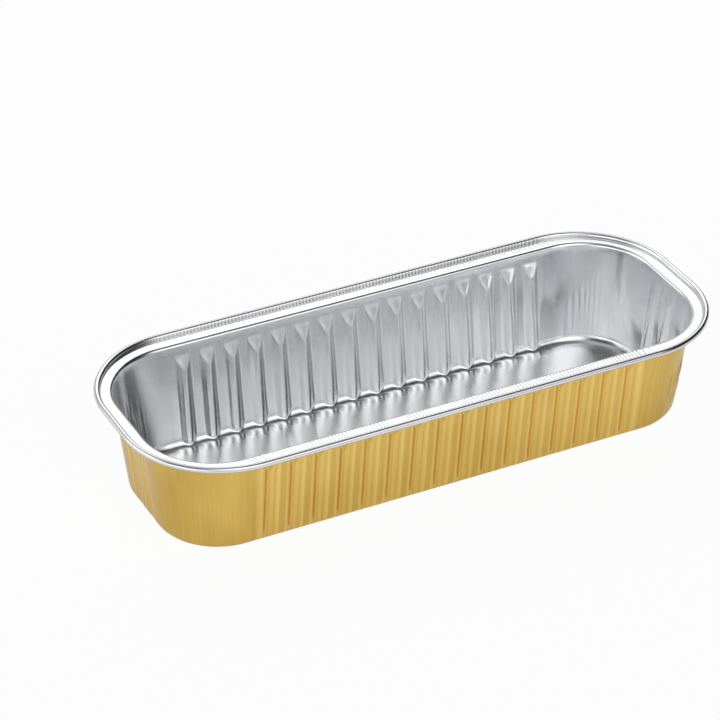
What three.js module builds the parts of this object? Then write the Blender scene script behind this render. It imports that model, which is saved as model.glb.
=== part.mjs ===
// Pressed foil loaf tray: one aluminium sheet with fluted walls, a flat flange and a curled rim,
// lacquered gold on its outer face. Millimetres, +Z up, standing on z = 0.
import * as THREE from 'three';

// Overall size, measured over the curled rim.
const trayLength = 200;
const trayWidth = 81;
const trayHeight = 36.8;
const rimCornerRadius = 32;

// Sheet: the foil, the lacquer on its outer face, and the clearance between the two solids.
const foilThickness = 0.12;
const lacquerThickness = 0.05;
const bondClearance = 0.03;

// Curled rim: a hollow bead that stands above the flange, with its cut edge tucked underneath. The crease
// angle is where the flange meets the bead, counted round the bead from its outermost point.
const beadRadius = 1;
const creaseAngle = THREE.MathUtils.degToRad(228.6);
const curlSweep = THREE.MathUtils.degToRad(290);

// Flange, from the outside of the bead to the mouth of the tray, and the rounded lip at its inner edge.
const sideFlangeWidth = 7;
const endFlangeWidth = 5.8;
const mouthCornerRadius = 23.5;
const lipRadius = 0.8;

// Walls lean in by the draft on every side, and turn into the flat floor through a fillet.
const wallDraft = 4;
const footCornerRadius = 20.5;
const footFillet = 3;

// Flutes: ribs pressed into the walls that die out in a sloping roof above and in the foot fillet below.
const flutePitch = 8.35;
const fluteWidth = 5.2;
const fluteCrestWidth = 0.9;
const fluteDepthAtRoof = 1.2;
const fluteDepthAtFoot = 1.3;
const fluteTopGap = 4.2;
const fluteRoofHeight = 4;
const endFluteDepth = 0.4;

// Facets of the round stretches.
const cornerSteps = 8;
const filletSteps = 4;
const lipSteps = 3;
const beadSteps = 12;
const leastStraight = 0.5;

// Finishes.
const foilColour = 0xc9cacd;
const foilRoughness = 0.32;
const lacquerColour = 0xc9a24a;
const lacquerRoughness = 0.38;
const metallic = 1;

// Levels and widths that follow from the sizes above. The gold face is the face that is laid out here.
const sheet = lacquerThickness + bondClearance + foilThickness;
const quarterTurn = Math.PI / 2;
const beadLevel = trayHeight - beadRadius;
const curlRadius = beadRadius - sheet;
const flangeLevel = beadLevel + curlRadius * Math.sin(creaseAngle);
const fluteTop = flangeLevel - fluteTopGap;
const roofFoot = fluteTop - fluteRoofHeight;

// A rounded rectangle in plan, with its corner radius kept inside its sides.
function outline(halfLength, halfWidth, cornerRadius) {
  const radius = Math.min(cornerRadius, halfLength - leastStraight, halfWidth - leastStraight);
  return { halfLength, halfWidth, radius };
}

// The same rounded rectangle moved in by a distance, all round.
function inset(plan, distance) {
  return outline(plan.halfLength - distance, plan.halfWidth - distance, plan.radius - distance);
}

const rimPlan = outline(trayLength / 2, trayWidth / 2, rimCornerRadius);
const mouthPlan = outline(
  rimPlan.halfLength - endFlangeWidth,
  rimPlan.halfWidth - sideFlangeWidth,
  mouthCornerRadius,
);
const footPlan = outline(
  mouthPlan.halfLength - wallDraft,
  mouthPlan.halfWidth - wallDraft,
  footCornerRadius,
);

// The wall's plan at a height, between the foot and the mouth.
function wallPlan(height) {
  const share = height / flangeLevel;
  return outline(
    THREE.MathUtils.lerp(footPlan.halfLength, mouthPlan.halfLength, share),
    THREE.MathUtils.lerp(footPlan.halfWidth, mouthPlan.halfWidth, share),
    THREE.MathUtils.lerp(footPlan.radius, mouthPlan.radius, share),
  );
}

// The long walls' flutes grow a little deeper towards the foot. The end walls' flutes keep a shallow depth.
function fluteDepth(onEnd, height) {
  const share = THREE.MathUtils.clamp(height / roofFoot, 0, 1);
  return onEnd ? endFluteDepth : THREE.MathUtils.lerp(fluteDepthAtFoot, fluteDepthAtRoof, share);
}

// Half the width of a flute at an inset from the wall, on its sloping flanks.
function fluteHalfWidth(depth, atInset) {
  return THREE.MathUtils.lerp(fluteWidth, fluteCrestWidth, atInset / depth) / 2;
}

// Middles of the flutes on a side: as many as its straight stretch at the foot has whole pitches.
function fluteMiddles(onEnd) {
  const halfSide = onEnd ? footPlan.halfWidth : footPlan.halfLength;
  const straight = 2 * (halfSide - footPlan.radius);
  const count = Math.floor(straight / flutePitch);
  return Array.from({ length: count }, (_, index) => (index - (count - 1) / 2) * flutePitch);
}

const middlesBySide = { end: fluteMiddles(true), long: fluteMiddles(false) };

// The corners of one flute's section at a station: foot, crest, crest, foot, each with its inset. Where the
// flute is down to nothing, only its two feet are left.
function fluteCorners(onEnd, station) {
  if (!station.fluted) {
    return [];
  }
  const depth = fluteDepth(onEnd, station.height);
  const land = station.landInset;
  const crest = Math.min(station.crestInset, depth);
  const foot = fluteHalfWidth(depth, Math.min(land, depth));
  if (crest <= land) {
    return [[-foot, land], [foot, land]];
  }
  const top = fluteHalfWidth(depth, crest);
  return [[-foot, land], [-top, crest], [top, crest], [foot, land]];
}

// One ring of points round the tray at a station. Each point has a key: two whole steps for each side,
// one along its straight stretch and one round the corner that follows it.
function ring(station) {
  const { plan, height, landInset } = station;
  const points = [];
  for (let side = 0; side < 4; side += 1) {
    const onEnd = side % 2 === 0;
    const reach = onEnd ? plan.halfLength : plan.halfWidth;
    const straight = (onEnd ? plan.halfWidth : plan.halfLength) - plan.radius;
    const facing = side * quarterTurn;
    const place = (along, inwards, key) => {
      const outwards = reach - inwards;
      points.push({
        position: new THREE.Vector3(
          outwards * Math.cos(facing) - along * Math.sin(facing),
          outwards * Math.sin(facing) + along * Math.cos(facing),
          height,
        ),
        key,
      });
    };
    place(-straight, landInset, 2 * side);
    for (const middle of onEnd ? middlesBySide.end : middlesBySide.long) {
      for (const [offset, inwards] of fluteCorners(onEnd, station)) {
        const along = middle + offset;
        place(along, inwards, 2 * side + (along + straight) / (2 * straight));
      }
    }
    for (let step = 0; step < cornerSteps; step += 1) {
      const turn = (step / cornerSteps) * quarterTurn;
      const arcRadius = plan.radius - landInset;
      const along = straight + arcRadius * Math.sin(turn);
      const inwards = plan.radius - arcRadius * Math.cos(turn);
      place(along, inwards, 2 * side + 1 + step / cornerSteps);
    }
  }
  return points;
}

// A station on the walls, with its land and its flutes' crests set in from the wall's plan.
function flutedStation(height, landInset, crestInset) {
  return { plan: wallPlan(height), height, landInset, crestInset, fluted: true };
}

// A station without flutes.
function plainStation(plan, height) {
  return { plan, height, landInset: 0, crestInset: 0, fluted: false };
}

// Stations of the sheet's gold face, from the floor up the walls, out along the flange and round the curl.
function sheetStations() {
  const stations = [];
  for (let step = 0; step <= filletSteps; step += 1) {
    const turn = (step / filletSteps) * quarterTurn;
    const height = footFillet * (1 - Math.cos(turn));
    const landInset = footFillet * (1 - Math.sin(turn));
    stations.push(flutedStation(height, landInset, Infinity));
  }
  stations.push(flutedStation(roofFoot, 0, Infinity));
  stations.push(flutedStation(fluteTop, 0, 0));
  for (let step = 0; step <= lipSteps; step += 1) {
    const turn = (step / lipSteps) * quarterTurn;
    const height = flangeLevel - lipRadius * (1 - Math.sin(turn));
    const outset = lipRadius * (1 - Math.cos(turn));
    stations.push(plainStation(inset(wallPlan(height), -outset), height));
  }
  for (let step = 0; step <= beadSteps; step += 1) {
    const angle = creaseAngle - (step / beadSteps) * curlSweep;
    const outset = curlRadius * Math.cos(angle);
    const height = beadLevel + curlRadius * Math.sin(angle);
    stations.push(plainStation(inset(rimPlan, beadRadius - outset), height));
  }
  return stations;
}

// Triangles between two rings, advancing along the ring whose next point lies nearer by its key.
function stitch(lower, upper, lowerStart, upperStart, turnKey) {
  const triangles = [];
  const keyOf = (points, index) => points[index % points.length].key
    + (index >= points.length ? turnKey : 0);
  let low = 0;
  let high = 0;
  while (low < lower.length || high < upper.length) {
    const stepLow = Math.abs(keyOf(lower, low + 1) - keyOf(upper, high));
    const stepHigh = Math.abs(keyOf(upper, high + 1) - keyOf(lower, low));
    const lowNow = lowerStart + (low % lower.length);
    const highNow = upperStart + (high % upper.length);
    const advanceLow = high >= upper.length || (low < lower.length && stepLow <= stepHigh);
    if (advanceLow) {
      low += 1;
      triangles.push(lowNow, lowerStart + (low % lower.length), highNow);
    } else {
      high += 1;
      triangles.push(lowNow, upperStart + (high % upper.length), highNow);
    }
  }
  return triangles;
}

// The gold face as one surface: positions, triangles facing the gold side, and the ring at the cut edge.
function goldFace() {
  const rings = sheetStations().map(ring);
  const keysPerTurn = 8;
  const positions = [new THREE.Vector3(0, 0, 0)];
  const triangles = [];
  const starts = [];
  for (const points of rings) {
    starts.push(positions.length);
    positions.push(...points.map((point) => point.position));
  }
  const floorRing = rings[0];
  for (let index = 0; index < floorRing.length; index += 1) {
    const next = (index + 1) % floorRing.length;
    triangles.push(0, starts[0] + next, starts[0] + index);
  }
  for (let index = 1; index < rings.length; index += 1) {
    const lower = rings[index - 1];
    const upper = rings[index];
    triangles.push(...stitch(lower, upper, starts[index - 1], starts[index], keysPerTurn));
  }
  const last = rings.length - 1;
  return { positions, triangles, edgeStart: starts[last], edgeLength: rings[last].length };
}

// The way from each point of a surface to the surface one unit in front of it. Each triangle counts by its
// angle at the point, and the way is longer at a crease, where a layer's corner lies further off.
function surfaceOffsets(surface) {
  const leans = surface.positions.map(() => new THREE.Vector3());
  const angles = surface.positions.map(() => 0);
  const triangle = new THREE.Triangle();
  const facing = new THREE.Vector3();
  for (let index = 0; index < surface.triangles.length; index += 3) {
    const corners = surface.triangles.slice(index, index + 3);
    triangle.set(...corners.map((corner) => surface.positions[corner]));
    triangle.getNormal(facing);
    corners.forEach((corner, turn) => {
      const here = surface.positions[corner];
      const toNext = surface.positions[corners[(turn + 1) % 3]].clone().sub(here);
      const toLast = surface.positions[corners[(turn + 2) % 3]].clone().sub(here);
      const angle = toNext.angleTo(toLast);
      leans[corner].addScaledVector(facing, angle);
      angles[corner] += angle;
    });
  }
  return leans.map((lean, index) => lean.multiplyScalar(angles[index] / lean.lengthSq()));
}

// One layer of the sheet, a closed solid between two depths behind the gold face.
function layer(name, surface, offsets, nearDepth, farDepth, material) {
  const behind = (depth) => surface.positions.map(
    (position, index) => position.clone().addScaledVector(offsets[index], -depth),
  );
  const points = [...behind(nearDepth), ...behind(farDepth)];
  const shift = surface.positions.length;
  const indices = [...surface.triangles];
  for (let index = 0; index < surface.triangles.length; index += 3) {
    const [first, second, third] = surface.triangles.slice(index, index + 3);
    indices.push(shift + first, shift + third, shift + second);
  }
  for (let index = 0; index < surface.edgeLength; index += 1) {
    const here = surface.edgeStart + index;
    const next = surface.edgeStart + ((index + 1) % surface.edgeLength);
    indices.push(here, next, shift + next);
    indices.push(here, shift + next, shift + here);
  }
  const geometry = new THREE.BufferGeometry();
  geometry.setFromPoints(points);
  geometry.setIndex(indices);
  geometry.computeVertexNormals();
  const mesh = new THREE.Mesh(geometry, material);
  mesh.name = name;
  return mesh;
}

const foilFinish = new THREE.MeshStandardMaterial({
  color: foilColour,
  roughness: foilRoughness,
  metalness: metallic,
});
const lacquerFinish = new THREE.MeshStandardMaterial({
  color: lacquerColour,
  roughness: lacquerRoughness,
  metalness: metallic,
});

const face = goldFace();
const faceOffsets = surfaceOffsets(face);
const foilDepth = lacquerThickness + bondClearance;

const foilTray = new THREE.Group();
foilTray.add(layer('gold_lacquer', face, faceOffsets, 0, lacquerThickness, lacquerFinish));
foilTray.add(layer('foil_pan', face, faceOffsets, foilDepth, sheet, foilFinish));

export default foilTray;
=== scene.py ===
import math

import bpy
import numpy as np
from mathutils import Matrix, Vector


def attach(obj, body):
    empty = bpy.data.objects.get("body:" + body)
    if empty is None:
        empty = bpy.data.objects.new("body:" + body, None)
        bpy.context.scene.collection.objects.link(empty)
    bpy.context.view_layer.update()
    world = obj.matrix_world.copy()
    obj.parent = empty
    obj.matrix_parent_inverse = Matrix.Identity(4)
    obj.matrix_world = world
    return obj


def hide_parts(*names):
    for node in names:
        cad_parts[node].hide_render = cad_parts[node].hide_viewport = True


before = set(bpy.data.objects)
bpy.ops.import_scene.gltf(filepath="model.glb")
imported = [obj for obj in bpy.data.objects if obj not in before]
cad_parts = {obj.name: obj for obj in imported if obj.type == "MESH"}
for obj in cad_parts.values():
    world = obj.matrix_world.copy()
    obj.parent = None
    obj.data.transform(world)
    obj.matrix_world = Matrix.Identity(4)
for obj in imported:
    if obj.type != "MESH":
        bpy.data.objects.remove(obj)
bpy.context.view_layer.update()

# The pan: one sheet of bright aluminium foil, bare on its inner face. A press draws floor, fluted walls and
# flange in one stroke, which wrinkles the sheet at the corners and the foot, and the edge is then curled
# outwards and under into the rim's bead.
mm = 0.001
tray_length = 200 * mm
tray_width = 81 * mm
tray_height = 36.8 * mm
rim_corner_radius = 32 * mm
side_flange_width = 7 * mm
end_flange_width = 5.8 * mm
mouth_corner_radius = 23.5 * mm
lip_radius = 0.8 * mm
wall_draft = 4 * mm
foot_corner_radius = 20.5 * mm
foot_fillet = 3 * mm
bead_radius = 1 * mm
crease_angle = math.radians(228.6)
curl_sweep = math.radians(290)
flute_pitch = 8.35 * mm
flutes_on_side = 16
flutes_on_end = 2
flute_top_gap = 3.9 * mm
lacquer_thickness = 0.05 * mm
bond_clearance = 0.03 * mm
foil_thickness = 0.12 * mm
sheet_thickness = lacquer_thickness + bond_clearance + foil_thickness
curl_radius = bead_radius - sheet_thickness
bead_level = tray_height - bead_radius
flange_level = bead_level + curl_radius * math.sin(crease_angle)
flute_top = flange_level - flute_top_gap


def plan(half_length, half_width, radius):
    """A rounded rectangle seen from above."""
    return np.array([half_length, half_width, radius])


def moved_in(outline, distance):
    """The same rounded rectangle, moved in all round."""
    return outline - distance


rim_plan = plan(tray_length / 2, tray_width / 2, rim_corner_radius)
mouth_plan = plan(
    tray_length / 2 - end_flange_width, tray_width / 2 - side_flange_width, mouth_corner_radius)
foot_plan = plan(mouth_plan[0] - wall_draft, mouth_plan[1] - wall_draft, foot_corner_radius)


def wall_plan(height):
    """The wall's plan at a height."""
    return foot_plan + (mouth_plan - foot_plan) * height / flange_level


def eased(value, start, end):
    """A smooth step from 0 at start to 1 at end."""
    share = np.clip((value - start) / (end - start), 0, 1)
    return share * share * (3 - 2 * share)


# Columns of points round the tray. Over half a flute they stand close together at the edges of the crest,
# the flank and the land, which take a third each of the count from 0 to 1. Each column also carries a share
# of painted highlight, which pales the colour along the flutes' edges in place of the light they catch.
flute_places = (0, 0.29, 0.41, 0.51, 0.62, 0.7, 0.82, 1)
flute_edge_highlights = (0, 0.5, 0.45, 0, 0.6, 1, 0, 0)
corner_steps = 72
half_steps = len(flute_places) - 1
columns = []
for side in range(4):
    on_end = side % 2 == 0
    flutes = flutes_on_end if on_end else flutes_on_side
    for flute in range(flutes):
        for step in range(-half_steps if flute == 0 else 1 - half_steps, half_steps + 1):
            outer = (flute == 0 and step < 0) or (flute == flutes - 1 and step > 0)
            middle = flute - (flutes - 1) / 2
            columns.append((
                side, middle * flute_pitch, math.copysign(flute_places[abs(step)], step), step / half_steps,
                outer, 0, False, (2 * middle + step / half_steps) / flutes, flute_edge_highlights[abs(step)]))
    for step in range(1, corner_steps):
        columns.append((side, 0, 1, 1, False, step / corner_steps, True, 1, 0))
columns = np.roll(np.array(columns, float), -2 * half_steps, axis=0)
column_side, column_middle, column_across, column_share = columns.T[:4]
column_outer, column_turn, column_corner, column_spread, column_edge_highlight = columns.T[4:]
column_outer = column_outer > 0
column_corner = column_corner > 0
column_end = column_side % 2 == 0
column_facing = (column_side + column_turn) * math.pi / 2
column_count = len(columns)


def ring(outline, land, spread):
    """Points of one ring, with the half pitch of the flutes at each column. As the spread goes to 1, the
    columns leave the flutes and share out the straight stretch."""
    reach = np.where(column_end, outline[0], outline[1])
    straight = np.where(column_end, outline[1], outline[0]) - outline[2]
    half_pitch = np.where(column_outer, straight - np.abs(column_middle), flute_pitch / 2)
    bend = outline[2] - land
    turn = column_turn * math.pi / 2
    along = column_middle + column_share * half_pitch
    along = along + (column_spread * straight - along) * spread
    along = np.where(column_corner, straight + bend * np.sin(turn), along)
    outwards = np.where(column_corner, reach - outline[2] + bend * np.cos(turn), reach - land)
    facing = column_side * math.pi / 2
    points = np.stack([
        outwards * np.cos(facing) - along * np.sin(facing),
        outwards * np.sin(facing) + along * np.cos(facing)], axis=1)
    return points, half_pitch


def doubled(values):
    """A ring's values with one more column between every two."""
    halfway = (values + np.roll(values, -1, axis=0)) / 2
    return np.stack([values, halfway], axis=1).reshape(-1, *values.shape[1:])


# Rows of points from the middle of the floor up the wall, out along the flange and round the curl. A row
# gives its plan, its height, how far the foot's fillet sets it in, how evenly its columns are spread, its
# way in from the fillet across the floor, and, on the rim, the share and the direction of the pleats. The
# roll left more of them standing on the front flange than elsewhere.
floor_ways = np.array((25.2, 21.5, 18, 15, 12.4, 10.2, 8.2, 6.4, 4.7, 3.1, 1.4)) * mm
floor_corner_least = 3.5 * mm
floor_corner_most = 0.6
flutes_fade_on_floor = (1 * mm, 9 * mm)
columns_leave_flutes = (9 * mm, 15 * mm)
fillet_steps = 8
wall_heights = np.array((6, 10, 15, 20, 24, 26.1, 26.8, 27.8, 29, 30.2, 31.2, 32.4)) * mm
lip_steps = 4
flange_shares = (0.08, 0.18, 0.3, 0.55, 0.8, 0.94)
hidden_flange_shares = (0.08, 0.18, 0.3, 0.55, 0.75)
bead_shares = (0, 0.03, 0.08, 0.15, 0.23, 0.31, 0.4, 0.49, 0.6, 0.72, 0.86, 1)
gutter_depth = 0.15 * mm
pleated_bead_rows = 6
bead_pleat = 0.45
flange_pleat = 0.15
front_flange_pleat = 0.65
pleat_steps_on_side = 4
pleat_steps_on_corner = 3


def row(outline, height, land=0.0, set_in=0.0, spread=0.0, even=1.0, way=0.0, own_depth=False, pleat=(0, 0),
        front_pleat=0.0, fine=False):
    """One row of the sheet, before the press."""
    return {"outline": outline, "height": height, "land": land, "set_in": set_in, "spread": spread,
            "even": even, "way": way, "own_depth": own_depth, "pleat": pleat, "front_pleat": front_pleat,
            "fine": fine}


def way_round():
    """How far round the wall each column stands from the tray's far left, by the shorter way."""
    points, _ = ring(wall_plan(flange_level / 2), 0, 0)
    steps = np.linalg.norm(np.roll(points, -1, axis=0) - points, axis=1)
    ways = np.cumsum(steps) - steps
    return np.abs(ways - steps.sum() / 2)


def sheet_reaches(rows):
    """How far out each row lies on the flat sheet, counted from the first row."""
    reaches = [0.0]
    for before, after in zip(rows, rows[1:]):
        out = (after["outline"][1] - after["set_in"]) - (before["outline"][1] - before["set_in"])
        reaches.append(reaches[-1] + math.hypot(out, after["height"] - before["height"]))
    return reaches


def sheet_rows(depth, pleated):
    """All rows of one face of the sheet that lies a depth behind the gold face."""
    rows = []
    floor_plan = moved_in(wall_plan(0), foot_fillet)
    for way in floor_ways:
        half_width = floor_plan[1] - way
        radius = min(max(floor_plan[2] - way, floor_corner_least), floor_corner_most * half_width)
        rows.append(row(
            plan(floor_plan[0] - way, half_width, radius), 0, foot_fillet + way, way=way,
            spread=eased(way, *columns_leave_flutes), even=eased(way, *flutes_fade_on_floor)))
    for step in range(fillet_steps + 1):
        turn = step / fillet_steps * math.pi / 2
        height = foot_fillet * (1 - math.cos(turn))
        land = foot_fillet * (1 - math.sin(turn))
        rows.append(row(wall_plan(height), height, land, set_in=land, even=0))
    for height in wall_heights:
        even = eased(height, flute_top, flange_level - lip_radius)
        rows.append(row(wall_plan(height), height, even=even))
    for step in range(lip_steps + 1):
        turn = step / lip_steps * math.pi / 2
        height = flange_level - lip_radius * (1 - math.sin(turn))
        rows.append(row(moved_in(wall_plan(height), -lip_radius * (1 - math.cos(turn))), height))
    lip_plan = rows[-1]["outline"]
    radius = curl_radius + depth
    crease = math.pi - math.asin((flange_level + depth - gutter_depth - bead_level) / radius)
    crease_plan = moved_in(rim_plan, bead_radius - radius * math.cos(crease))
    for share in flange_shares if pleated else hidden_flange_shares:
        outline = lip_plan + (crease_plan - lip_plan) * share
        rows.append(row(
            outline, flange_level + depth, own_depth=True, pleat=(0, flange_pleat if pleated else 0),
            front_pleat=front_flange_pleat if pleated else 0, fine=pleated))
    for bead_row, share in enumerate(bead_shares):
        angle = crease + (crease_angle - curl_sweep - crease) * share
        outline = moved_in(rim_plan, bead_radius - radius * math.cos(angle))
        height = bead_level + radius * math.sin(angle)
        fine = pleated and bead_row <= pleated_bead_rows
        strength = bead_pleat * (1 - bead_row / pleated_bead_rows) if fine else 0
        pleat = (strength * math.cos(angle), strength * math.sin(angle))
        rows.append(row(outline, height, own_depth=True, pleat=pleat, fine=fine))
    return rows


def floor_faces(here):
    """Faces inside the innermost row: quads across the floor, and one face at each of its two tips."""
    half = len(here) // 2
    tip = flutes_on_end * half_steps + corner_steps // 3
    faces = [[here[k] for k in range(tip, -tip - 1, -1)]]
    faces.extend((here[k], here[-k], here[-k - 1], here[k + 1]) for k in range(tip, half - tip))
    faces.append([here[k] for k in range(half + tip, half - tip - 1, -1)])
    return faces


def stitched(last, here):
    """Faces between a row and the next one, which may have twice or half as many columns."""
    if len(last) == len(here):
        return list(zip(last, np.roll(last, -1), np.roll(here, -1), here))
    faces = []
    if len(last) < len(here):
        for k in range(len(last)):
            low, next_low = last[k], last[(k + 1) % len(last)]
            one, two, three = here[2 * k], here[2 * k + 1], here[(2 * k + 2) % len(here)]
            faces.extend([(low, two, one), (low, next_low, two), (next_low, three, two)])
        return faces
    for k in range(len(here)):
        high, next_high = here[k], here[(k + 1) % len(here)]
        one, two, three = last[2 * k], last[2 * k + 1], last[(2 * k + 2) % len(last)]
        faces.extend([(one, two, high), (two, next_high, high), (two, three, next_high)])
    return faces


def sheet_face(depth, way_out, pleated):
    """Points, faces and press readings of one face of the sheet. Its faces look to the gold side."""
    readings = {}
    faces = []
    last = None
    total = 0
    rows = sheet_rows(depth, pleated)
    for station, reach in zip(rows, sheet_reaches(rows)):
        points, half_pitch = ring(station["outline"], station["set_in"], station["spread"])
        grain_place = np.column_stack([points, 0 * column_facing])
        if station["way"] == 0:
            grain_place = np.column_stack([way_round(), np.full(column_count, reach), 0 * column_facing])
        inward = -np.stack([np.cos(column_facing), np.sin(column_facing), 0 * column_facing], axis=1)
        along = np.stack([-np.sin(column_facing), np.cos(column_facing), 0 * column_facing], axis=1)
        pleat_rise = station["pleat"][1] + station["front_pleat"] * np.clip(-np.sin(column_facing), 0, 1)
        numbers = {
            "position": np.column_stack([points, np.full(column_count, station["height"])]),
            "across": column_across, "share": column_share, "half_pitch": half_pitch,
            "land": np.full(column_count, station["land"]), "even": np.full(column_count, station["even"]),
            "on_end": column_end.astype(float), "floor_way": np.full(column_count, station["way"]),
            "corner": np.where(column_corner, np.sin(column_turn * math.pi), 0),
            "corner_turn": column_side + column_turn,
            "along": along, "inward": inward, "grain_place": grain_place,
            # Painted highlight along the flutes' edges, on the foot fillet and the wall, fading out where
            # the flutes end.
            "painted_edge_highlight": column_edge_highlight * (1 - station["even"]) * (station["way"] == 0),
            "pleat": np.outer(pleat_rise, (0, 0, 1)) - station["pleat"][0] * inward,
            "layer_step": np.full(column_count, 0.0 if station["own_depth"] else depth * way_out),
        }
        if station["fine"]:
            numbers = {name: doubled(values) for name, values in numbers.items()}
        count = len(numbers["across"])
        pleat_steps = np.where(column_corner, pleat_steps_on_corner, pleat_steps_on_side)
        numbers["pleat_turn"] = np.cumsum(1 / np.repeat(pleat_steps, count // column_count))
        for name, values in numbers.items():
            readings.setdefault(name, []).append(values)
        here = np.arange(total, total + count)
        total += count
        faces.extend(floor_faces(here) if last is None else stitched(last, here))
        last = here
    return {name: np.concatenate(values) for name, values in readings.items()}, faces, last


def sheet_blank(name, near_depth, far_depth, pleated):
    """A layer of the sheet as a closed blank for the press, with its gold side, silver side and cut edge.
    Where the rows of both sides match, they split into triangles along the same lines and don't cross."""
    near, near_faces, near_edge = sheet_face(near_depth, -1, False)
    far, far_faces, far_edge = sheet_face(far_depth, 1, pleated)
    shift = len(near["across"])
    faces = list(near_faces)
    faces.extend((shift + face[0], *(shift + point for point in face[:0:-1])) for face in far_faces)
    near_next, far_next = np.roll(near_edge, -1), np.roll(far_edge, -1)
    faces.extend(zip(near_edge, near_next, shift + far_next, shift + far_edge))
    readings = {key: np.concatenate([near[key], far[key]]) for key in near}
    mesh = bpy.data.meshes.new(name)
    corners = [[int(point) for point in face] for face in faces]
    mesh.from_pydata(readings.pop("position").tolist(), [], corners)
    for key, values in readings.items():
        kind, field = ("FLOAT_VECTOR", "vector") if values.ndim == 2 else ("FLOAT", "value")
        mesh.attributes.new(key, kind, "POINT").data.foreach_set(field, values.astype(np.float32).ravel())
    piece = bpy.data.objects.new(name, mesh)
    bpy.context.scene.collection.objects.link(piece)
    return piece, list(readings)


# The press as a tree of nodes. It works out, at every point of the blank, how far the flutes, the corners'
# puckers, the floor's dents and the flange's pleats move the sheet, and then sets the layers apart.
press_sizes = {
    "Flute crest half": 0.6 * mm,
    "Flute foot half": 2.6 * mm,
    "Flute depth at roof": 1.2 * mm,
    "Flute depth at foot": 1.3 * mm,
    "Flute depth on ends": 0.5 * mm,
    "Flute top": flute_top,
    "Flute roof height": 4.2 * mm,
    "Crest rounding": 0.12 * mm,
    "Foot rounding": 0.25 * mm,
    "Pucker depth": 0.24 * mm,
    "Wall wave": 0.04 * mm,
    "Dent height": 0.05 * mm,
    "Floor wave": 0.45 * mm,
    "Crumple height": 0.22 * mm,
    "Pleat height": 0.1 * mm,
}
press = bpy.data.node_groups.new("pan_press", "GeometryNodeTree")
press.interface.new_socket("Sheet", in_out="INPUT", socket_type="NodeSocketGeometry")
press.interface.new_socket("Sheet", in_out="OUTPUT", socket_type="NodeSocketGeometry")
for size_name in press_sizes:
    press.interface.new_socket(size_name, in_out="INPUT", socket_type="NodeSocketFloat")
press.interface.new_socket("Finish", in_out="INPUT", socket_type="NodeSocketMaterial")
press_in = press.nodes.new("NodeGroupInput")
press_out = press.nodes.new("NodeGroupOutput")


class Reading:
    """A number or a vector that the press knows at every point of the sheet."""

    def __init__(self, socket):
        self.socket = socket

    def __add__(self, other):
        return worked("ADD", self, other)

    def __sub__(self, other):
        return worked("SUBTRACT", self, other)

    def __rsub__(self, other):
        return worked("SUBTRACT", other, self)

    def __mul__(self, other):
        return worked("MULTIPLY", self, other)

    def __truediv__(self, other):
        return worked("DIVIDE", self, other)


def fed(kind, terms, output=0, **settings):
    """A node of the press with its inputs fed from readings or numbers."""
    node = press.nodes.new(kind)
    for setting, value in settings.items():
        setattr(node, setting, value)
    for place, term in terms.items():
        if isinstance(term, Reading):
            press.links.new(term.socket, node.inputs[place])
        else:
            node.inputs[place].default_value = term
    return Reading(node.outputs[output])


def worked(operation, *terms):
    """A sum, product or other working of numbers."""
    return fed("ShaderNodeMath", dict(enumerate(terms)), operation=operation)


def scaled(vector, number):
    return fed("ShaderNodeVectorMath", {"Vector": vector, "Scale": number}, operation="SCALE")


def summed(*vectors):
    total = vectors[0]
    for vector in vectors[1:]:
        total = fed("ShaderNodeVectorMath", {0: total, 1: vector}, operation="ADD")
    return total


def read(name, kind="FLOAT"):
    """A reading that the blank brings along."""
    return fed("GeometryNodeInputNamedAttribute", {"Name": name}, data_type=kind)


def between(value, start, end):
    """A smooth step from 0 at start to 1 at end, on the sheet."""
    return fed("ShaderNodeMapRange", {"Value": value, "From Min": start, "From Max": end},
               interpolation_type="SMOOTHSTEP")


def banded(value, start, full, wane, end):
    """A smooth rise from 0 to 1 and back to 0, on the sheet."""
    return between(value, start, full) * (1.0 - between(value, wane, end))


def held(value):
    """The value, kept from 0 to 1."""
    return fed("ShaderNodeClamp", {"Value": value})


def mixed(first, second, share):
    return fed("ShaderNodeMix", {"Factor": share, "A": first, "B": second}, data_type="FLOAT")


def joined(x, y, z):
    return fed("ShaderNodeCombineXYZ", {"X": x, "Y": y, "Z": z})


def noise(vector, scale, detail=1.0):
    """Smooth random swell from about -0.5 to 0.5."""
    return fed("ShaderNodeTexNoise", {"Vector": vector, "Scale": scale, "Detail": detail}) - 0.5


def patchy(vector, scale, contrast, share):
    """Random patches from 0 to 1 about a middle share."""
    return held(noise(vector, scale) * contrast + share)


size = {name: Reading(press_in.outputs[name]) for name in press_sizes}
place = fed("GeometryNodeInputPosition", {})
height = fed("ShaderNodeSeparateXYZ", {"Vector": place}, output=2)
across, share, half_pitch = read("across"), read("share"), read("half_pitch")
land, even, on_end, floor_way = read("land"), read("even"), read("on_end"), read("floor_way")
corner, corner_turn, pleat_turn = read("corner"), read("corner_turn"), read("pleat_turn")

# Flutes: deeper towards the foot, closed above by a sloping roof, swallowed below by the foot's fillet.
roof_foot = size["Flute top"] - size["Flute roof height"]
side_depth = mixed(size["Flute depth at foot"], size["Flute depth at roof"], held(height / roof_foot))
depth = mixed(side_depth, size["Flute depth on ends"], on_end)
roof = depth * (size["Flute top"] - height) / size["Flute roof height"]
crest = worked("SMOOTH_MIN", depth, roof, size["Crest rounding"])
foot_half = size["Flute foot half"]
flank_slope = depth / (foot_half - size["Flute crest half"])
top_half = foot_half - held(crest / depth) * (foot_half - size["Flute crest half"])
thirds = worked("ABSOLUTE", across) * 3.0
aligned = top_half * held(thirds)
aligned = aligned + (foot_half - top_half) * held(thirds - 1.0)
aligned = aligned + (half_pitch - foot_half) * held(thirds - 2.0)
spread = worked("ABSOLUTE", share) * half_pitch
off_middle = mixed(aligned, spread, even)
slide = worked("SIGN", share) * (off_middle - spread)
flank = (foot_half - off_middle) * flank_slope
flute = worked("SMOOTH_MIN", crest, flank, size["Crest rounding"])
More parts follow.
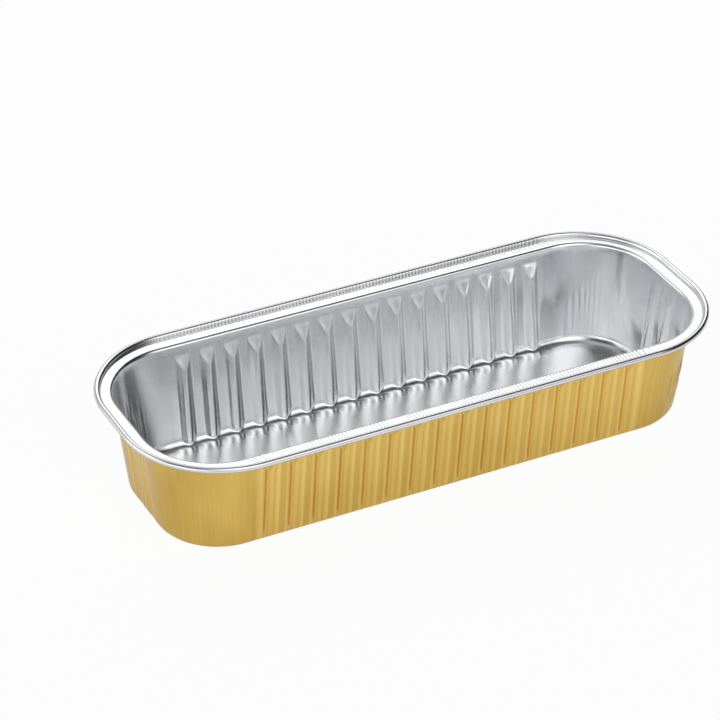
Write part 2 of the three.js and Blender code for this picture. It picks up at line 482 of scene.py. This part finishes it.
flute_inset = worked("SMOOTH_MAX", land, flute, size["Foot rounding"]) - land
on_straight = 1.0 - between(corner, 0.0, 0.02)
flute_inset = flute_inset * on_straight

# Puckers where the corners are drawn in, and the gentle wave of thin foil. The puckers wander sideways,
# start and end at staggered heights, and come in patches.
puckers_per_corner = 19
pucker_wander = 12.0
pucker_stagger = 12 * mm
pucker_seed = 1.7
stagger_seed = 3.0
pucker_place = joined(corner_turn * 7.0, height * 60.0, pucker_seed)
pucker_turn = corner_turn * (2 * math.pi * puckers_per_corner)
pucker_wave = worked("COSINE", pucker_turn + noise(pucker_place, scale=1.0) * pucker_wander)
stagger_place = joined(corner_turn * 11.0, stagger_seed, 0.0)
pucker_height = height + noise(stagger_place, scale=1.0) * pucker_stagger
pucker_band = banded(pucker_height, start=5 * mm, full=11 * mm, wane=16 * mm, end=22 * mm)
pucker_sort = patchy(pucker_place, scale=0.8, contrast=3.0, share=0.7)
in_corner = between(corner, start=0.5, end=0.85)
puckers = pucker_wave * size["Pucker depth"] * pucker_band * pucker_sort * in_corner
wall_band = banded(height, start=0.5 * mm, full=8 * mm, wane=28 * mm, end=34 * mm)
wall_wave = noise(place, scale=70.0) * size["Wall wave"] * wall_band

# Dents that run on from the flutes across the floor, and the creases of crumpled foil.
dent_contrast = 2.2
dent_share = 0.8
dent_band = banded(floor_way, start=0.0, full=2 * mm, wane=3 * mm, end=9 * mm)
dent_wave = worked("COSINE", share * math.pi) * 0.5 + 0.5
dent_sort = noise(place, scale=95.0) * dent_contrast + dent_share
dents = worked("MAXIMUM", dent_wave * dent_sort, 0.0) * dent_band * size["Dent height"]
floor_band = between(floor_way, start=0.5 * mm, end=5 * mm)
floor_wave = (noise(place, scale=110.0, detail=2.0) + 0.5) * floor_band * size["Floor wave"]
crumple_edge = fed(
    "ShaderNodeTexVoronoi", {"Vector": place, "Scale": 85.0},
    voronoi_dimensions="2D", feature="DISTANCE_TO_EDGE")
crumple_fold = 1.0 - between(crumple_edge, start=0.0, end=0.16)
crumple_band = banded(floor_way, start=0.5 * mm, full=4 * mm, wane=14 * mm, end=22 * mm)
crumple_sort = patchy(place, scale=28.0, contrast=3.0, share=0.2)
crumples = crumple_fold * crumple_sort * crumple_band * size["Crumple height"]

# Pleats across the flange, some of them flattened again by the curling roll.
pleat_wave = worked("COSINE", pleat_turn * (2 * math.pi))
pleat_place = joined(pleat_turn * 0.09, 0.0, 0.0)
pleat_sort = patchy(pleat_place, scale=1.0, contrast=2.0, share=0.8)
pleats = scaled(read("pleat", "FLOAT_VECTOR"), pleat_wave * pleat_sort * size["Pleat height"])

pressed = press.nodes.new("GeometryNodeSetPosition")
press.links.new(press_in.outputs["Sheet"], pressed.inputs["Geometry"])
move = summed(
    scaled(read("along", "FLOAT_VECTOR"), slide),
    scaled(read("inward", "FLOAT_VECTOR"), flute_inset + puckers + wall_wave),
    joined(0.0, 0.0, dents + floor_wave + crumples),
    pleats)
press.links.new(move.socket, pressed.inputs["Offset"])
layered = press.nodes.new("GeometryNodeSetPosition")
press.links.new(pressed.outputs["Geometry"], layered.inputs["Geometry"])
facing = fed("GeometryNodeInputNormal", {}, output="Normal")
press.links.new(scaled(facing, read("layer_step")).socket, layered.inputs["Offset"])
smoothed = press.nodes.new("GeometryNodeSetShadeSmooth")
press.links.new(layered.outputs["Geometry"], smoothed.inputs["Geometry"])
realized = press.nodes.new("GeometryNodeRealizeInstances")
press.links.new(smoothed.outputs["Geometry"], realized.inputs["Geometry"])
finished = press.nodes.new("GeometryNodeSetMaterial")
press.links.new(realized.outputs["Geometry"], finished.inputs["Geometry"])
press.links.new(press_in.outputs["Finish"], finished.inputs["Material"])
press.links.new(finished.outputs["Geometry"], press_out.inputs["Sheet"])


def pressed_sheet(name, near_depth, far_depth, finish, pleated=False):
    """A layer of the sheet after the press, as a plain closed mesh."""
    piece, readings = sheet_blank(name, near_depth, far_depth, pleated)
    stroke = piece.modifiers.new("press", "NODES")
    stroke.node_group = press
    settings = dict(press_sizes, Finish=finish)
    for item in press.interface.items_tree:
        if item.in_out == "INPUT" and item.name in settings:
            stroke[item.identifier] = settings[item.name]
    bpy.context.view_layer.update()
    shaped = bpy.data.meshes.new_from_object(piece.evaluated_get(bpy.context.evaluated_depsgraph_get()))
    piece.modifiers.remove(stroke)
    for key in readings:
        if key not in ("grain_place", "floor_way", "painted_edge_highlight"):
            shaped.attributes.remove(shaped.attributes[key])
    blank = piece.data
    piece.data = shaped
    bpy.data.meshes.remove(blank)
    shaped.name = name
    return piece


# The marks of the mill's rolls, each with its count to a metre across and along the grain and its detail,
# and how much of each goes into the colour and the sheen.
grain_marks = {
    "lines": ((5200, 45), 3.0),
    "streaks": ((1400, 18), 2.0),
    "clouds": ((60, 35), 2.0),
    "specks": ((2600, 2600), 1.0),
}
streak_share = 0.5
speck_share = 0.2
cloud_share_of_tone = 0.45
cloud_share_of_sheen = 0.3
# How much the painted highlight pales the colour along the flutes' edges.
edge_highlight_share_of_tone = 0.45
crushed_from_foot = 4 * mm


def rolled_finish(name, dull, bright, painted_highlight_tint, smooth, rough, grain_depth, floor_dulling):
    """A finish of rolled sheet: colour and sheen vary along fine lines that the mill's rolls left, in broad
    cloudy patches and in small specks, and the lines stand up a little. A paler tint is painted along the
    flutes' edges as a painted highlight, and the crushed floor is duller."""
    finish = bpy.data.materials.new(name)
    finish.use_nodes = True
    nodes, links = finish.node_tree.nodes, finish.node_tree.links
    shader = nodes["Principled BSDF"]
    shader.inputs["Metallic"].default_value = 1.0
    flat = nodes.new("ShaderNodeAttribute")
    flat.attribute_name = "grain_place"
    marks = {}
    for mark, (count, detail) in grain_marks.items():
        stretched = nodes.new("ShaderNodeMapping")
        stretched.inputs["Scale"].default_value = (*count, 1)
        links.new(flat.outputs["Vector"], stretched.inputs["Vector"])
        texture = nodes.new("ShaderNodeTexNoise")
        texture.inputs["Scale"].default_value = 1.0
        texture.inputs["Detail"].default_value = detail
        links.new(stretched.outputs["Vector"], texture.inputs["Vector"])
        marks[mark] = texture.outputs["Fac"]

    def blended(first, second, share):
        blend = nodes.new("ShaderNodeMix")
        blend.data_type = "FLOAT"
        blend.inputs["Factor"].default_value = share
        links.new(first, blend.inputs["A"])
        links.new(second, blend.inputs["B"])
        return blend.outputs["Result"]

    grain = blended(blended(marks["lines"], marks["streaks"], streak_share), marks["specks"], speck_share)
    tone = nodes.new("ShaderNodeValToRGB")
    tone.color_ramp.elements[0].position = 0.36
    tone.color_ramp.elements[0].color = (*dull, 1)
    tone.color_ramp.elements[1].position = 0.64
    tone.color_ramp.elements[1].color = (*bright, 1)
    # The last tint is a painted highlight, laid along the flutes' edges.
    tone.color_ramp.elements.new(1.0).color = (*painted_highlight_tint, 1)
    painted_edge_highlight = nodes.new("ShaderNodeAttribute")
    painted_edge_highlight.attribute_name = "painted_edge_highlight"
    tone_share = nodes.new("ShaderNodeMath")
    tone_share.operation = "MULTIPLY_ADD"
    tone_share.inputs[1].default_value = edge_highlight_share_of_tone
    links.new(painted_edge_highlight.outputs["Fac"], tone_share.inputs[0])
    links.new(blended(grain, marks["clouds"], cloud_share_of_tone), tone_share.inputs[2])
    links.new(tone_share.outputs[0], tone.inputs["Fac"])
    links.new(tone.outputs["Color"], shader.inputs["Base Color"])
    sheen = nodes.new("ShaderNodeMapRange")
    sheen.inputs["From Min"].default_value = 0.3
    sheen.inputs["From Max"].default_value = 0.7
    sheen.inputs["To Min"].default_value = smooth
    sheen.inputs["To Max"].default_value = rough
    links.new(blended(grain, marks["clouds"], cloud_share_of_sheen), sheen.inputs["Value"])
    floor_way = nodes.new("ShaderNodeAttribute")
    floor_way.attribute_name = "floor_way"
    crushed = nodes.new("ShaderNodeMapRange")
    crushed.inputs["From Max"].default_value = crushed_from_foot
    crushed.inputs["To Max"].default_value = floor_dulling
    links.new(floor_way.outputs["Fac"], crushed.inputs["Value"])
    dulled = nodes.new("ShaderNodeMath")
    links.new(sheen.outputs["Result"], dulled.inputs[0])
    links.new(crushed.outputs["Result"], dulled.inputs[1])
    links.new(dulled.outputs[0], shader.inputs["Roughness"])
    relief = nodes.new("ShaderNodeBump")
    relief.inputs["Strength"].default_value = 0.5
    relief.inputs["Distance"].default_value = grain_depth
    links.new(grain, relief.inputs["Height"])
    links.new(relief.outputs["Normal"], shader.inputs["Normal"])
    return finish


# The last tint of each finish is its painted highlight along the flutes' edges.
foil_finish = rolled_finish(
    "bare_foil", dull=(0.79, 0.795, 0.815), bright=(0.88, 0.883, 0.893), painted_highlight_tint=(0.92, 0.92, 0.93),
    smooth=0.15, rough=0.24, grain_depth=0.004 * mm, floor_dulling=0.1)

foil_pan = pressed_sheet(
    "pressed_foil_pan", lacquer_thickness + bond_clearance, sheet_thickness, foil_finish, pleated=True)
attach(foil_pan, "root")
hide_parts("foil_pan")

# The lacquer: a thin satin gold film, rolled on to the sheet's outer face before the press, so that it
# follows every flute and wrinkle and runs on under the flange and into the curl.
gold_finish = rolled_finish(
    "gold_lacquer", dull=(0.68, 0.455, 0.1), bright=(0.86, 0.6, 0.16), painted_highlight_tint=(0.98, 0.7, 0.23),
    smooth=0.08, rough=0.16, grain_depth=0.006 * mm, floor_dulling=0.1)

gold_lacquer = pressed_sheet("gold_lacquer_film", 0.0, lacquer_thickness, gold_finish)
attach(gold_lacquer, "root")
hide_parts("gold_lacquer")

# The studio: a plain white table with a painted pool of light in front of the tray, seen only in the pan's
# reflections, a soft box high up behind it, a pale room that is brighter at the left and the front and dark
# at the right, and the photograph's camera.
table_half = 3.0
table_drop = 0.2 * mm
table_white = (0.85, 0.85, 0.85, 1)
table_seen = 0.96
painted_pool_middle = (0, -0.06, 0)
table_mesh = bpy.data.meshes.new("table")
table_mesh.from_pydata(
    [(-table_half, -table_half, 0), (table_half, -table_half, 0), (table_half, table_half, 0),
     (-table_half, table_half, 0)], [], [(0, 1, 2, 3)])
table = bpy.data.objects.new("table", table_mesh)
table.location.z = -table_drop
bpy.context.scene.collection.objects.link(table)
table_finish = bpy.data.materials.new("white_table")
table_finish.use_nodes = True
nodes, links = table_finish.node_tree.nodes, table_finish.node_tree.links
nodes.clear()
lit_white = nodes.new("ShaderNodeBsdfDiffuse")
lit_white.inputs["Color"].default_value = table_white
plain_white = nodes.new("ShaderNodeEmission")
plain_white.inputs["Color"].default_value = (1, 1, 1, 1)
plain_white.inputs["Strength"].default_value = 1.0
# Mirrored in the pan, the table glows plain white as painted light. The glow is brightest in a painted pool
# in front of the tray and darkened near the tray by its occlusion, a painted contact shadow. The camera
# sees the table almost plain white.
ray = nodes.new("ShaderNodeLightPath")
white_seen = nodes.new("ShaderNodeMath")
white_seen.operation = "MULTIPLY"
white_seen.inputs[1].default_value = table_seen
links.new(ray.outputs["Is Camera Ray"], white_seen.inputs[0])
open_share = nodes.new("ShaderNodeAmbientOcclusion")
open_share.inputs["Distance"].default_value = 0.08
table_place = nodes.new("ShaderNodeTexCoord")
from_pool = nodes.new("ShaderNodeVectorMath")
from_pool.operation = "DISTANCE"
from_pool.inputs[1].default_value = painted_pool_middle
links.new(table_place.outputs["Object"], from_pool.inputs[0])
painted_light_pool = nodes.new("ShaderNodeMapRange")
painted_light_pool.inputs["From Min"].default_value = 0.07
painted_light_pool.inputs["From Max"].default_value = 0.12
painted_light_pool.inputs["To Min"].default_value = 0.86
painted_light_pool.inputs["To Max"].default_value = 0.5
links.new(from_pool.outputs["Value"], painted_light_pool.inputs["Value"])
white_mirrored = nodes.new("ShaderNodeMath")
white_mirrored.operation = "MULTIPLY"
links.new(open_share.outputs["AO"], white_mirrored.inputs[0])
links.new(painted_light_pool.outputs["Result"], white_mirrored.inputs[1])
white_share = nodes.new("ShaderNodeMath")
white_share.operation = "MULTIPLY_ADD"
links.new(ray.outputs["Is Glossy Ray"], white_share.inputs[0])
links.new(white_mirrored.outputs[0], white_share.inputs[1])
links.new(white_seen.outputs[0], white_share.inputs[2])
blend = nodes.new("ShaderNodeMixShader")
links.new(white_share.outputs[0], blend.inputs[0])
links.new(lit_white.outputs[0], blend.inputs[1])
links.new(plain_white.outputs[0], blend.inputs[2])
table_out = nodes.new("ShaderNodeOutputMaterial")
links.new(blend.outputs[0], table_out.inputs["Surface"])
table_mesh.materials.append(table_finish)

# The room's level, and how it changes towards some directions: where each change starts and is full, as the
# cosine of the angle from the direction, and how much it is.
room_level = 0.6
room_changes = {
    "dark wall at the right": ((0.98, -0.13, 0.16), 0.45, 0.82, -0.57),
    "white panel at the back left": ((-0.88, 0.41, 0.23), 0.82, 0.97, 1.3),
    "shade high on the left": ((-0.67, -0.18, 0.72), 0.85, 0.97, -0.5),
    "white panel at the front left": ((-0.88, -0.46, 0.1), 0.82, 0.97, 1.4),
    "white panel high in front": ((0.05, -0.76, 0.65), 0.8, 0.97, 1.2),
    "shade overhead at the right": ((0.49, -0.05, 0.87), 0.8, 0.97, -0.45),
}
room_least = 0.04
room = bpy.data.worlds.new("studio_room")
bpy.context.scene.world = room
room.use_nodes = True
nodes, links = room.node_tree.nodes, room.node_tree.links
nodes.clear()
direction = nodes.new("ShaderNodeTexCoord")
level = None
for aim, start, full, change in room_changes.values():
    towards = nodes.new("ShaderNodeVectorMath")
    towards.operation = "DOT_PRODUCT"
    towards.inputs[1].default_value = Vector(aim).normalized()
    links.new(direction.outputs["Generated"], towards.inputs[0])
    swell = nodes.new("ShaderNodeMapRange")
    swell.interpolation_type = "SMOOTHSTEP"
    swell.inputs["From Min"].default_value = start
    swell.inputs["From Max"].default_value = full
    swell.inputs["To Max"].default_value = change
    links.new(towards.outputs["Value"], swell.inputs["Value"])
    changed = nodes.new("ShaderNodeMath")
    changed.inputs[0].default_value = room_level
    if level is not None:
        links.new(level, changed.inputs[0])
    links.new(swell.outputs["Result"], changed.inputs[1])
    level = changed.outputs[0]
lowest = nodes.new("ShaderNodeMath")
lowest.operation = "MAXIMUM"
lowest.inputs[1].default_value = room_least
links.new(level, lowest.inputs[0])
room_light = nodes.new("ShaderNodeBackground")
links.new(lowest.outputs[0], room_light.inputs["Strength"])
room_white = nodes.new("ShaderNodeBackground")
room_white.inputs["Strength"].default_value = 1.0
ray = nodes.new("ShaderNodeLightPath")
blend = nodes.new("ShaderNodeMixShader")
links.new(ray.outputs["Is Camera Ray"], blend.inputs[0])
links.new(room_light.outputs[0], blend.inputs[1])
links.new(room_white.outputs[0], blend.inputs[2])
room_out = nodes.new("ShaderNodeOutputWorld")
links.new(blend.outputs[0], room_out.inputs["Surface"])

soft_box_place = Vector((0.32, 0.68, 0.64))
soft_box_aim = Vector((0, 0, 0.03))
soft_box = bpy.data.lights.new("soft_box_behind", "AREA")
soft_box.shape = "RECTANGLE"
soft_box.size = 0.95
soft_box.size_y = 0.38
soft_box.energy = 1.22
soft_box_stand = bpy.data.objects.new("soft_box_behind", soft_box)
soft_box_stand.location = soft_box_place
soft_box_stand.rotation_euler = (soft_box_aim - soft_box_place).to_track_quat("-Z", "Y").to_euler()
bpy.context.scene.collection.objects.link(soft_box_stand)

view_azimuth = math.radians(-26.76)
view_elevation = math.radians(32.4)
view_distance = 1013.69 * mm
view_left = 14.82 * mm
view_rise = 25.68 * mm
view_lens = 158.88
view_back = Vector((
    math.sin(view_azimuth) * math.cos(view_elevation),
    -math.cos(view_azimuth) * math.cos(view_elevation),
    math.sin(view_elevation)))
view_right = Vector((math.cos(view_azimuth), math.sin(view_azimuth), 0))
view_up = view_back.cross(view_right)
view_place = view_back * view_distance - view_right * view_left + view_up * view_rise
camera_lens = bpy.data.cameras.new("photograph_view")
camera_lens.sensor_width = 36.0
camera_lens.lens = view_lens
camera_lens.clip_start = 0.05
camera_lens.clip_end = 50.0
camera = bpy.data.objects.new("photograph_view", camera_lens)
camera.matrix_world = Matrix((
    (view_right.x, view_up.x, view_back.x, view_place.x),
    (view_right.y, view_up.y, view_back.y, view_place.y),
    (view_right.z, view_up.z, view_back.z, view_place.z),
    (0, 0, 0, 1)))
bpy.context.scene.collection.objects.link(camera)
bpy.context.scene.camera = camera
bpy.context.scene.view_settings.view_transform = "Standard"
bpy.context.scene.cycles.glossy_bounces = 12
